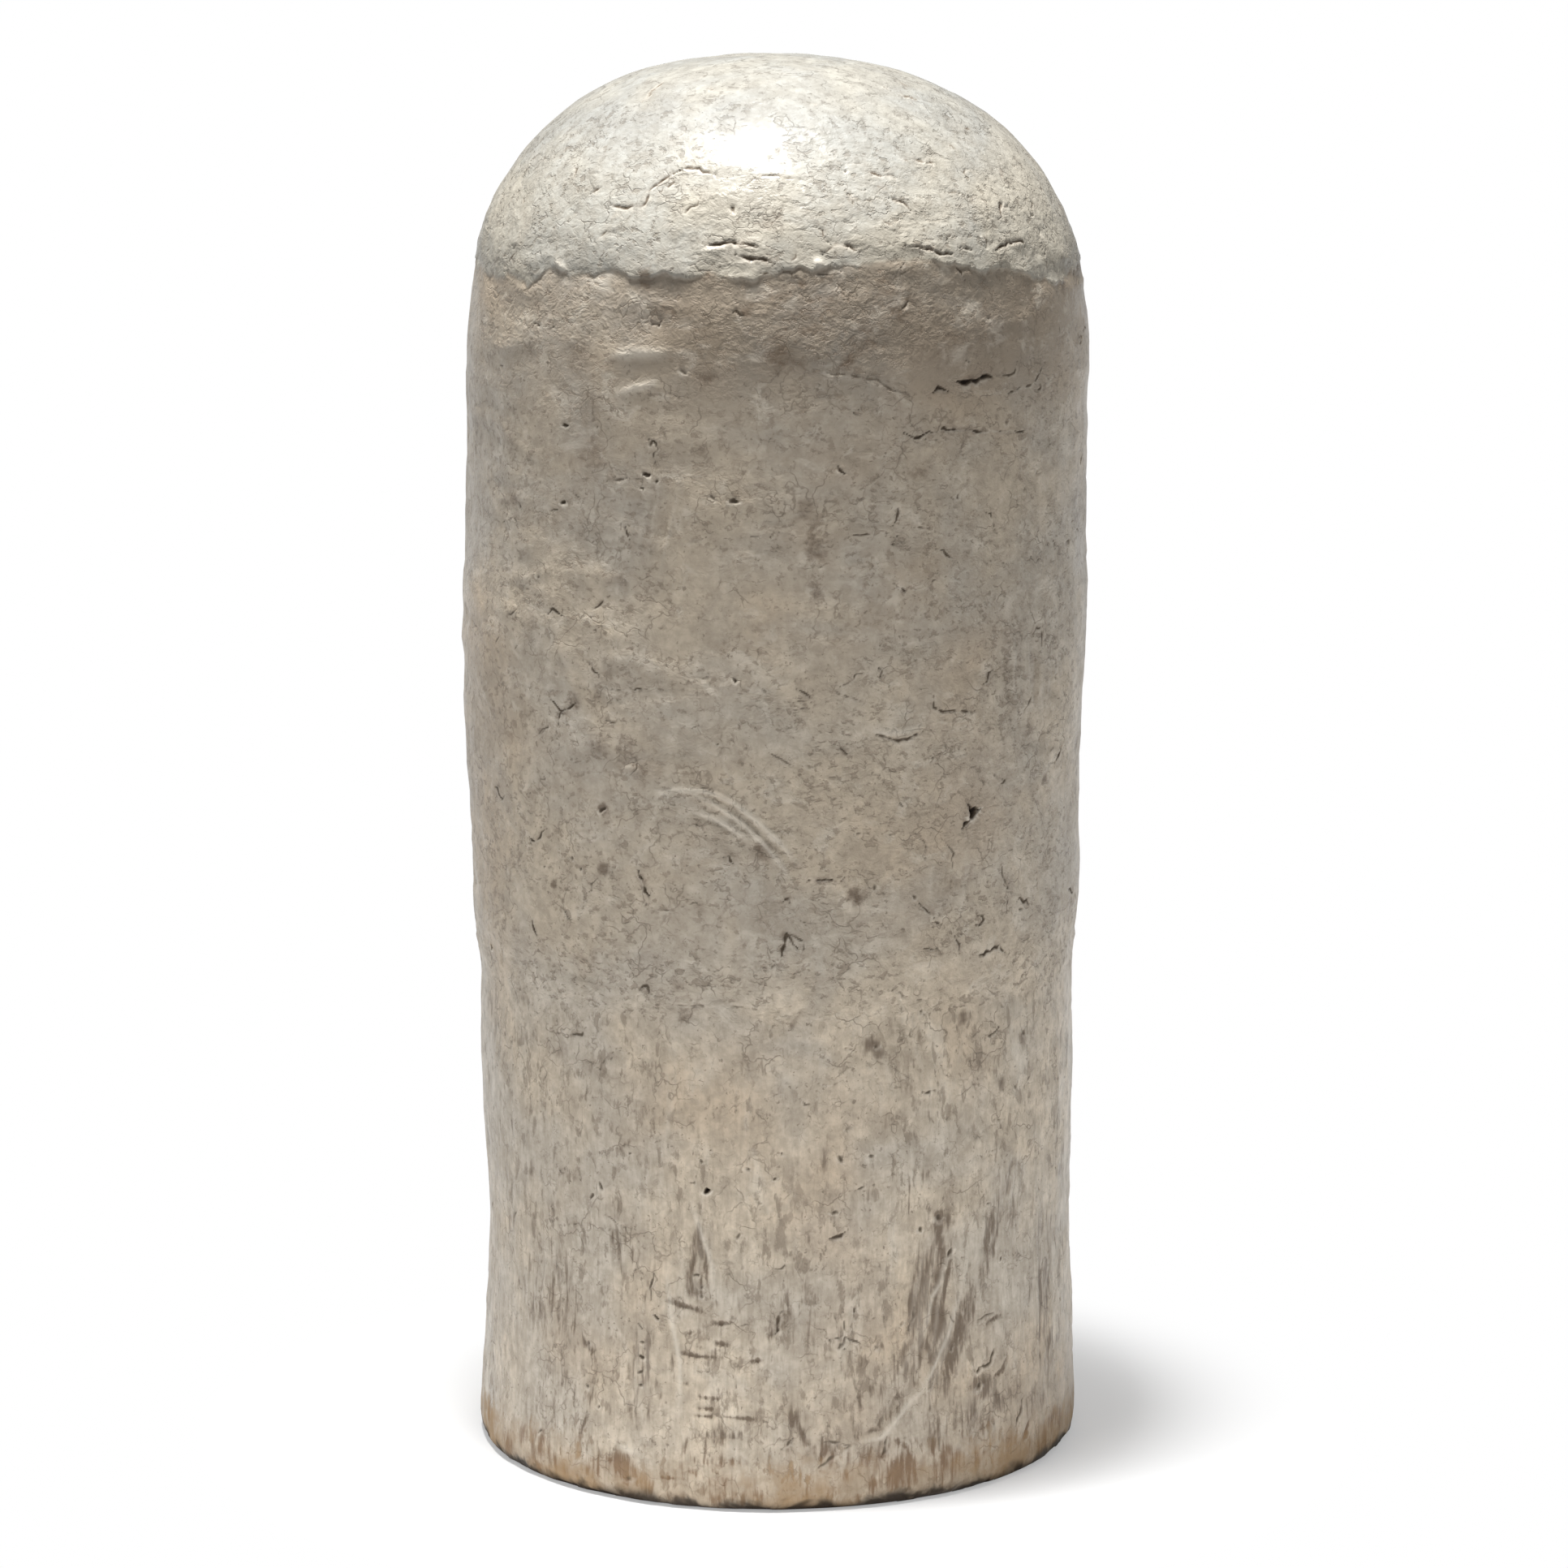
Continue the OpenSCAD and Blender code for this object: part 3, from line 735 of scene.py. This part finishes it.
def buildMesh(surface, name):
    rows, columns = surface.rows, surface.columns
    front = 0.5 - 0.5 * surface.normals[..., 1]
    care = skin["backCare"] + (1 - skin["backCare"]) * smooth(0.35, 0.6, front)
    fields = [getattr(surface, name) * care * weight for name, weight in skin["weights"].items()]
    fields = [np.concatenate([field, field[:, :1]], axis=1) for field in fields]
    errors = {}
    narrow = {}     # near the crown, where blocks are too narrow to split
    for size in skin["blocks"]:
        errors[size] = sum(patchError(field, size) for field in fields)
        width = surface.cellWidth[:-1:size] * size
        narrow[size] = np.broadcast_to((width < skin["narrowest"])[:, None], errors[size].shape)
    low, high = 0.02, 1.0       # the limit lies between these, in millimetres
    for attempt in range(9):
        limit = (low * high) ** 0.5
        corner, rims = blockRims(chooseBlocks(errors, narrow, limit), rows, columns)
        if countTriangles(rims) > skin["triangles"]:
            low = limit
        else:
            high = limit
    corner, rims = blockRims(chooseBlocks(errors, narrow, high), rows, columns)
    corner[rows] = False
    corner[rows, 0] = True
    number = np.cumsum(corner).reshape(corner.shape) - 1
    number[rows] = number[rows, 0]
    outer = surface.places + surface.normals * (surface.relief * mm)[..., None]
    outer[..., 2] = np.maximum(outer[..., 2], 0)
    vertices = outer[corner]
    floorRing = number[0][corner[0]]
    hub = len(vertices)
    vertices = np.concatenate([vertices, [[0, 0, 0]]])
    fan = np.stack([np.full(len(floorRing), hub), np.roll(floorRing, -1), floorRing], axis=1)
    loops = [number[row, column][used] for row, column, used in rims] + [fan.ravel()]
    totals = [used.sum(axis=1) for row, column, used in rims] + [np.full(len(fan), 3)]
    loops = np.concatenate(loops).astype(np.int32)
    totals = np.concatenate(totals).astype(np.int32)
    mesh = bpy.data.meshes.new(name)
    mesh.vertices.add(len(vertices))
    mesh.vertices.foreach_set("co", vertices.astype(np.float32).ravel())
    mesh.loops.add(len(loops))
    mesh.loops.foreach_set("vertex_index", loops)
    mesh.polygons.add(len(totals))
    mesh.polygons.foreach_set("loop_start", np.concatenate([[0], np.cumsum(totals)[:-1]]).astype(np.int32))
    mesh.update(calc_edges=True)
    mesh.polygons.foreach_set("use_smooth", np.arange(len(totals)) < len(totals) - len(fan))
    for label in inks:
        layer = mesh.attributes.new(label, "FLOAT", "POINT")
        layer.data.foreach_set("value", np.append(getattr(surface, label)[corner], 0).astype(np.float32))
    mesh.validate()
    print(f"skin: {len(vertices)} points, {countTriangles(rims) + len(fan)} triangles, limit {high:.3f} mm")
    return mesh


def newObject(name, data, place=(0, 0, 0), turn=(0, 0, 0)):
    # an object in the scene, turned by so many degrees
    thing = bpy.data.objects.new(name, data)
    bpy.context.scene.collection.objects.link(thing)
    thing.location = place
    thing.rotation_euler = [radians(angle) for angle in turn]
    return thing


surface = Surface("column", skin["columns"], skin["rows"])
print("form read from the column")
buildRelief(surface)
print("relief worked out")
glazedSkin = newObject("glazedColumn", buildMesh(surface, "glazedColumn"))


# adds nodes to a tree and links them, so that a shader reads from top to bottom
class Wiring:

    def __init__(self, tree):
        self.tree = tree

    def feed(self, socket, value):
        if isinstance(value, bpy.types.NodeSocket):
            self.tree.links.new(value, socket)
        else:
            socket.default_value = value

    def add(self, kind, settings=None, **inputs):
        # a node with its settings and what goes in at its sockets: baseColor is Base Color
        node = self.tree.nodes.new(kind)
        for key, value in (settings or {}).items():
            setattr(node, key, value)
        for key, value in inputs.items():
            label = "".join(" " + letter if letter.isupper() else letter for letter in key)
            self.feed(node.inputs[label[0].upper() + label[1:]], value)
        return node

    def math(self, operation, *values, clamp=False):
        node = self.add("ShaderNodeMath", {"operation": operation, "use_clamp": clamp})
        for socket, value in zip(node.inputs, values):
            self.feed(socket, value)
        return node.outputs[0]

    def times(self, *values):
        return reduce(lambda first, second: self.math("MULTIPLY", first, second), values)

    def plus(self, *values, clamp=False):
        return reduce(lambda first, second: self.math("ADD", first, second, clamp=clamp), values)

    def less(self, first, second):
        return self.math("SUBTRACT", first, second)

    def vector(self, operation, *values, **scale):
        node = self.add("ShaderNodeVectorMath", {"operation": operation}, **scale)
        for socket, value in zip(node.inputs, values):
            self.feed(socket, value)
        return node.outputs["Value" if operation == "LENGTH" else "Vector"]

    def ramp(self, value, low, high, start=0, end=1):
        return self.add("ShaderNodeMapRange", {"interpolation_type": "SMOOTHSTEP"}, value=value,
                        fromMin=low, fromMax=high, toMin=start, toMax=end).outputs["Result"]

    def mix(self, share, first, second, blend="MIX"):
        node = self.add("ShaderNodeMix", {"data_type": "RGBA", "blend_type": blend}, factor=share)
        self.feed(node.inputs[6], first)
        self.feed(node.inputs[7], second)
        return node.outputs[2]

    def noise(self, vector, scale, detail=3, roughness=0.55, warp=0, output="Fac"):
        return self.add("ShaderNodeTexNoise", {}, vector=vector, scale=scale, detail=detail,
                        roughness=roughness, distortion=warp).outputs[output]


def newGroup(name, numbers, outputs):
    # a group that takes a vector and the numbers given, each with its default
    group = bpy.data.node_groups.new(name, "ShaderNodeTree")
    group.interface.new_socket(name="Vector", in_out="INPUT", socket_type="NodeSocketVector")
    for label, value in numbers.items():
        socket = group.interface.new_socket(name=label, in_out="INPUT", socket_type="NodeSocketFloat")
        socket.default_value = value
    for label in outputs:
        group.interface.new_socket(name=label, in_out="OUTPUT", socket_type="NodeSocketFloat")
    source, result = group.nodes.new("NodeGroupInput"), group.nodes.new("NodeGroupOutput")
    return Wiring(group), source.outputs, result.inputs


def mottleGroup():
    # two clouds of different size: broad patches, and blots inside them
    wire, given, result = newGroup("slipMottle", {"Patch Size": 0.09, "Blot Size": 0.012},
                                   ["Patches", "Blots"])
    patches = wire.noise(given["Vector"], wire.math("DIVIDE", 1, given["Patch Size"]), 3, 0.6, 0.5)
    blots = wire.noise(given["Vector"], wire.math("DIVIDE", 1, given["Blot Size"]), 3, 0.62, 0.3)
    wire.feed(result["Patches"], wire.ramp(patches, 0.36, 0.64))
    wire.feed(result["Blots"], wire.ramp(blots, 0.34, 0.68))
    return wire.tree


def someAreas(wire, vector, scale, share, below, above):
    # a mask of the areas in which a mark is found, for about this share of the surface
    edge = wire.less(1, share)
    return wire.ramp(wire.noise(vector, scale, 2, 0.6), wire.less(edge, below), wire.plus(edge, above))


def crazeGroup():
    # hairlines along the borders of cells whose places are shaken by a noise, and only in some areas
    wire, given, result = newGroup("hairCraze", {"Cell Size": 0.02, "Line Width": 0.04, "Spread": 0.5},
                                   ["Lines"])
    scale = wire.math("DIVIDE", 1, given["Cell Size"])
    shake = wire.noise(given["Vector"], wire.times(scale, 1.7), 3, 0.5, output="Color")
    shake = wire.vector("SUBTRACT", shake, (0.5, 0.5, 0.5))
    shake = wire.vector("SCALE", shake, scale=wire.times(given["Cell Size"], 1.3))
    cells = wire.add("ShaderNodeTexVoronoi", {"feature": "DISTANCE_TO_EDGE"},
                     vector=wire.vector("ADD", given["Vector"], shake), scale=scale)
    line = wire.ramp(cells.outputs["Distance"], 0, given["Line Width"], 1, 0)
    area = someAreas(wire, given["Vector"], wire.times(scale, 0.8), given["Spread"], 0.04, 0.1)
    wire.feed(result["Lines"], wire.times(line, area))
    return wire.tree


def gritGroup():
    # specks and short dashes: what stands above a level in a fine noise, only in some areas
    wire, given, result = newGroup("clayGrit", {"Speck Size": 0.006, "Level": 0.58, "Crowding": 0.5},
                                   ["Specks"])
    scale = wire.math("DIVIDE", 1, given["Speck Size"])
    field = wire.noise(given["Vector"], scale, 4, 0.6, 0.2)
    speck = wire.ramp(field, given["Level"], wire.plus(given["Level"], 0.1))
    area = someAreas(wire, given["Vector"], wire.times(scale, 0.13), given["Crowding"], 0.1, 0.1)
    wire.feed(result["Specks"], wire.times(speck, area))
    return wire.tree


mottle, craze, grit = mottleGroup(), crazeGroup(), gritGroup()
print("shader groups built")


def freshWiring(holder):
    # the emptied node tree of a material or a world
    holder.use_nodes = True
    holder.node_tree.nodes.clear()
    return Wiring(holder.node_tree)


glaze = {
    "cream": (0.56, 0.478, 0.37, 1),        # warm slip, where the glaze is full
    "grey": (0.47, 0.423, 0.355, 1),        # cool slip, where it is thin
    "tan": (0.48, 0.365, 0.25, 1),          # slip stained by the clay under it
    "pale": (0.76, 0.70, 0.60, 1),          # pale patches, and the painted highlight on ridges and lips
    "blot": (0.30, 0.25, 0.19, 1),          # clay showing through in blots
    "soot": (0.16, 0.125, 0.09, 1),         # specks, hairlines and streaks
    "fissure": (0.11, 0.085, 0.06, 1),      # dark clay and painted shade just inside a crack
    "crack": (0.018, 0.013, 0.01, 1),       # painted shadow deep in a crack
    "dash": (0.21, 0.165, 0.12, 1),         # short marks all over
    "dirt": (0.132, 0.093, 0.062, 1),       # stains
    "rust": (0.165, 0.09, 0.044, 1),        # stains at the foot
    "ochre": (0.40, 0.27, 0.15, 1),         # thin glaze over bare clay at the foot
    "rim": (0.05, 0.036, 0.025, 1),         # the dark band along the foot's bottom edge
    "bare": (0.36, 0.27, 0.18, 1),          # the unglazed underside
    "capTint": (0.77, 0.83, 0.88, 1),       # the cap's glaze is cooler, and darkened with painted shade against the overhead light,
    "crownShadeTint": (0.71, 0.735, 0.775, 1),   # with more painted shade toward the crown,
    "paintedShadeTint": (0.40, 0.395, 0.39, 1),    # under its seam the wall is darker, partly painted shade,
    "courseTint": (1.18, 1.18, 1.185, 1),   # and the lower course is paler
    # sizes in metres of the mottle, the crackle and the grit, and how much of the glaze each covers
    "broadMottle": {"patchSize": 0.085, "blotSize": 0.016},
    "smallMottle": {"patchSize": 0.03, "blotSize": 0.006},
    "wideCrackle": {"cellSize": 0.024, "lineWidth": 0.04, "spread": 0.48},
    "fineCrackle": {"cellSize": 0.010, "lineWidth": 0.07, "spread": 0.46},
    "dashGrit": {"speckSize": 0.0062, "level": 0.545, "crowding": 0.56},
    "speckGrit": {"speckSize": 0.0032, "level": 0.6, "crowding": 0.55},
    # heights in metres between which each look sets in
    "lowerLook": (0.34, 0.14),
    "crownLook": (0.772, 0.842),
    "rustLook": (0.05, 0.02),
    "footLook": (0.032, -0.002),
    "rimLook": (0.007, -0.001),
    "bareLook": (0.002, 0.001),
    "bareReach": (0.178, 0.17),     # how far out it is bare underneath
    # how far each kind of mark covers what lies under it
    "warmth": 0.5,
    "broadBlots": 0.45,
    "smallBlots": 0.4,
    "washed": 0.28,
    "hairs": 0.38,
    "dashes": (0.55, 0.62),     # on the upper course, and on the lower one
    "specks": 0.65,
    "fineCraze": 0.35,
    "wideCraze": 0.5,
    "stains": (0.85, 0.38),     # at their ragged core, and at their soft edge
    "rubbed": 0.6,
    "roughness": (0.4, 0.55),
    "specular": 0.12,
    "coat": 0.3,
    "coatRoughness": 0.24,
    "bump": 0.75,
}


def copyOf(wire, group, vector, **numbers):
    # what one copy of a group gives in the material, with these numbers
    return wire.add("ShaderNodeGroup", {"node_tree": group}, vector=vector, **numbers).outputs


def glazeMaterial():
    material = bpy.data.materials.new("slipGlaze")
    wire = freshWiring(material)
    times, plus, less, ramp = wire.times, wire.plus, wire.less, wire.ramp
    spot = wire.add("ShaderNodeTexCoord").outputs["Object"]
    x, y, height = wire.add("ShaderNodeSeparateXYZ", {}, vector=spot).outputs
    crackInk, stainInk, paleInk, capInk, shadeInk, courseInk = [
        wire.add("ShaderNodeAttribute", {"attribute_name": name}).outputs["Fac"] for name in inks]

    # the brush drew marks out upright low on the wall, and hands drew them out sideways higher up
    rise = wire.math("MAXIMUM", less(height, 0.3), 0)
    drawn = wire.add("ShaderNodeCombineXYZ", {}, x=x, y=y, z=plus(times(height, 0.4), rise)).outputs[0]
    upright = wire.add("ShaderNodeCombineXYZ", {}, x=x, y=y, z=times(height, 0.14)).outputs[0]

    broad = copyOf(wire, mottle, spot, **glaze["broadMottle"])
    small = copyOf(wire, mottle, spot, **glaze["smallMottle"])
    wideCraze = copyOf(wire, craze, spot, **glaze["wideCrackle"])["Lines"]
    fineCraze = copyOf(wire, craze, spot, **glaze["fineCrackle"])["Lines"]
    dashes = copyOf(wire, grit, drawn, **glaze["dashGrit"])["Specks"]
    specks = copyOf(wire, grit, spot, **glaze["speckGrit"])["Specks"]
    hairs = wire.noise(upright, 330, 2, 0.6)
    lower = ramp(height, *glaze["lowerLook"])
    wallOnly = less(1, capInk)
    warmth = ramp(wire.noise(spot, 8, 2, 0.55), 0.48, 0.7)
    washed = ramp(wire.noise(drawn, 48, 4, 0.62, 0.5), 0.52, 0.7)

    # the slip, its tints with the painted shade over the cap and under its seam, and its small marks, from
    # the lowest to the uppermost
    layers = [
        (broad["Patches"], "grey"),
        (times(warmth, wallOnly, glaze["warmth"]), "tan"),
        # painted shade under the cap's seam, and on patches of the cap
        (shadeInk, "paintedShadeTint"),
        (courseInk, "courseTint"),
        (times(broad["Blots"], glaze["broadBlots"]), "blot"),
        (times(small["Blots"], glaze["smallBlots"]), "blot"),
        (times(washed, wallOnly, glaze["washed"]), "pale"),
        (times(ramp(hairs, 0.4, 0.7), lower, glaze["hairs"]), "blot"),
        (times(dashes, ramp(lower, 0, 1, *glaze["dashes"])), "dash"),
        (times(specks, glaze["specks"]), "soot"),
        (times(fineCraze, glaze["fineCraze"]), "soot"),
        (times(wideCraze, glaze["wideCraze"]), "soot"),
        # the cap's cooler glaze, darkened with painted shade
        (capInk, "capTint"),
        # painted shade, darker toward the crown
        (ramp(height, *glaze["crownLook"]), "crownShadeTint"),
    ]

    # stains, with painted shade in some of them under the cap's seam, torn by a noise and by the brush's
    # hairs
    core, soft = glaze["stains"]
    ragged = wire.math("MULTIPLY_ADD", less(wire.noise(drawn, 120, 4, 0.65, 0.3), 0.5), 1.5, stainInk)
    ragged = wire.math("MULTIPLY_ADD", less(hairs, 0.5), times(lower, 2), ragged)
    ragged = times(ramp(ragged, 0.12, 0.95, 0, core), ramp(stainInk, 0.02, 0.25))
    layers.append((wire.math("MAXIMUM", ragged, times(stainInk, soft)), "stain"))

    # the foot, the dark band along its bottom edge and the bare underside, then painted highlights on lips
    # and ridges, and cracks darkened partly with painted shade
    footEdge = plus(height, times(broad["Blots"], -0.012), times(dashes, -0.01))
    footBare = times(ramp(footEdge, *glaze["footLook"]), ramp(broad["Patches"], 0, 1, 0.25, 0.85))
    reach = wire.vector("LENGTH", wire.add("ShaderNodeCombineXYZ", {}, x=x, y=y).outputs[0])
    layers += [
        (footBare, "ochre"),
        (ramp(plus(height, times(small["Patches"], -0.006)), *glaze["rimLook"]), "rim"),
        (times(ramp(reach, *glaze["bareReach"]), ramp(height, *glaze["bareLook"])), "bare"),
        (times(paleInk, glaze["rubbed"]), "pale"),
        (ramp(crackInk, 0, 0.5), "fissure"),
        (ramp(crackInk, 0.45, 1), "crack"),
    ]
    rusty = ramp(height, *glaze["rustLook"])
    colors = {**glaze, "stain": wire.mix(rusty, glaze["dirt"], glaze["rust"])}
    color = colors["cream"]
    for share, name in layers:
        color = wire.mix(share, color, colors[name], "MULTIPLY" if name.endswith("Tint") else "MIX")

    roughness = ramp(small["Patches"], 0, 1, *glaze["roughness"])
    roughness = plus(roughness, times(crackInk, 0.4), times(footBare, 0.35), clamp=True)

    # the finest relief, in millimetres
    creases = wire.math("ABSOLUTE", less(wire.noise(drawn, 60, 4, 0.6, 0.4), 0.5))
    relief = plus(
        times(wire.noise(spot, 240, 2, 0.6), 0.4),
        times(creases, ramp(broad["Blots"], 0.3, 0.9, 0.6, 3.4)),
        wire.noise(drawn, 130, 3, 0.6, 0.6),
        times(ragged, -0.3),
        times(dashes, -0.45),
        times(wideCraze, -0.35))
    bump = wire.add("ShaderNodeBump", {}, strength=glaze["bump"], distance=mm, height=relief)
    shader = wire.add("ShaderNodeBsdfPrincipled", {}, baseColor=color, roughness=roughness,
                      normal=bump.outputs["Normal"], coatRoughness=glaze["coatRoughness"],
                      coatWeight=ramp(plus(crackInk, footBare), 0, 0.7, glaze["coat"], 0))
    shader.inputs["Specular IOR Level"].default_value = glaze["specular"]
    wire.add("ShaderNodeOutputMaterial", {}, surface=shader.outputs["BSDF"])
    return material


glazedSkin.data.materials.append(glazeMaterial())
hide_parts("column")
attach(glazedSkin, "root")
print("glaze laid on")


# the stage, the light and the camera
studio = {
    "floorSize": 60,
    "floorColor": (0.84, 0.84, 0.84, 1),
    "floorLift": 0.35,              # how much of the white ground is its own near the column
    "groundReach": (0.21, 0.37),    # between these distances from the middle it becomes all its own
    "sky": 0.42,                    # light from above,
    "horizon": 0.26,                # from all round,
    "leftLift": 0.15,               # and what is added from the left
    "keyPower": 19,
    "keySize": (0.46, 0.28),
    "keyPlace": (-0.14, -0.2, 2.45),
    "keyTurn": (-5, -5, 0),
    "keySpread": 75,
    "cameraPlace": (0.005, -3.44, 1.033),   # four heights away, a little above the crown
    "cameraTilt": 10.26,                    # degrees that it looks down
    "cameraLens": 129.4,
}


def seenDirectly(wire, *rays):
    # 1 for the rays that should meet plain white
    kinds = wire.add("ShaderNodeLightPath").outputs
    return reduce(lambda first, second: wire.math("MAXIMUM", first, second), [kinds[ray] for ray in rays])


def buildFloor():
    half = studio["floorSize"] / 2
    mesh = bpy.data.meshes.new("floor")
    corners = [(-half, -half, 0), (half, -half, 0), (half, half, 0), (-half, half, 0)]
    mesh.from_pydata(corners, [], [(0, 1, 2, 3)])
    floor = newObject("floor", mesh)
    material = bpy.data.materials.new("paleGround")
    wire = freshWiring(material)
    matte = wire.add("ShaderNodeBsdfDiffuse", {}, color=studio["floorColor"])
    white = wire.add("ShaderNodeEmission", {}, color=(1, 1, 1, 1), strength=1)
    seen = seenDirectly(wire, "Is Camera Ray", "Is Glossy Ray", "Is Transmission Ray")
    away = wire.vector("LENGTH", wire.add("ShaderNodeTexCoord").outputs["Object"])
    own = wire.ramp(away, *studio["groundReach"], studio["floorLift"], 1)
    blend = wire.add("ShaderNodeMixShader")
    for socket, value in zip(blend.inputs, (wire.times(seen, own), matte.outputs[0], white.outputs[0])):
        wire.feed(socket, value)
    wire.add("ShaderNodeOutputMaterial", {}, surface=blend.outputs[0])
    mesh.materials.append(material)
    floor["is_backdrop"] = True


def buildSky():
    # a white surround that lights the column a little more from above and the left
    world = bpy.data.worlds.new("studio")
    bpy.context.scene.world = world
    wire = freshWiring(world)
    way = wire.add("ShaderNodeTexCoord").outputs["Generated"]
    parts = wire.add("ShaderNodeSeparateXYZ", {}, vector=way).outputs
    lit = wire.plus(wire.ramp(parts["Z"], 0.1, 0.75, studio["horizon"], studio["sky"]),
                    wire.ramp(parts["X"], 0, -1, 0, studio["leftLift"]))
    strength = wire.math("MAXIMUM", lit, seenDirectly(wire, "Is Camera Ray", "Is Transmission Ray"))
    background = wire.add("ShaderNodeBackground", {}, color=(1, 1, 1, 1), strength=strength)
    wire.add("ShaderNodeOutputWorld", {}, surface=background.outputs[0])


def buildLamp():
    lamp = bpy.data.lights.new("key", "AREA")
    lamp.shape = "RECTANGLE"
    lamp.size, lamp.size_y = studio["keySize"]
    lamp.energy = studio["keyPower"]
    lamp.spread = radians(studio["keySpread"])
    newObject("key", lamp, studio["keyPlace"], studio["keyTurn"])


def buildCamera():
    camera = bpy.data.cameras.new("camera")
    camera.sensor_width = 36
    camera.lens = studio["cameraLens"]
    camera.clip_end = 100
    turn = (90 - studio["cameraTilt"], 0, 0)
    bpy.context.scene.camera = newObject("camera", camera, studio["cameraPlace"], turn)


buildFloor()
buildSky()
buildLamp()
buildCamera()
bpy.context.scene.view_settings.view_transform = "Standard"
print("stage set")

plain = lambda bounds: [[float(value) for value in corner] for corner in bounds]
{"cad": plain(cadBounds), "visual": plain(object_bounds())}
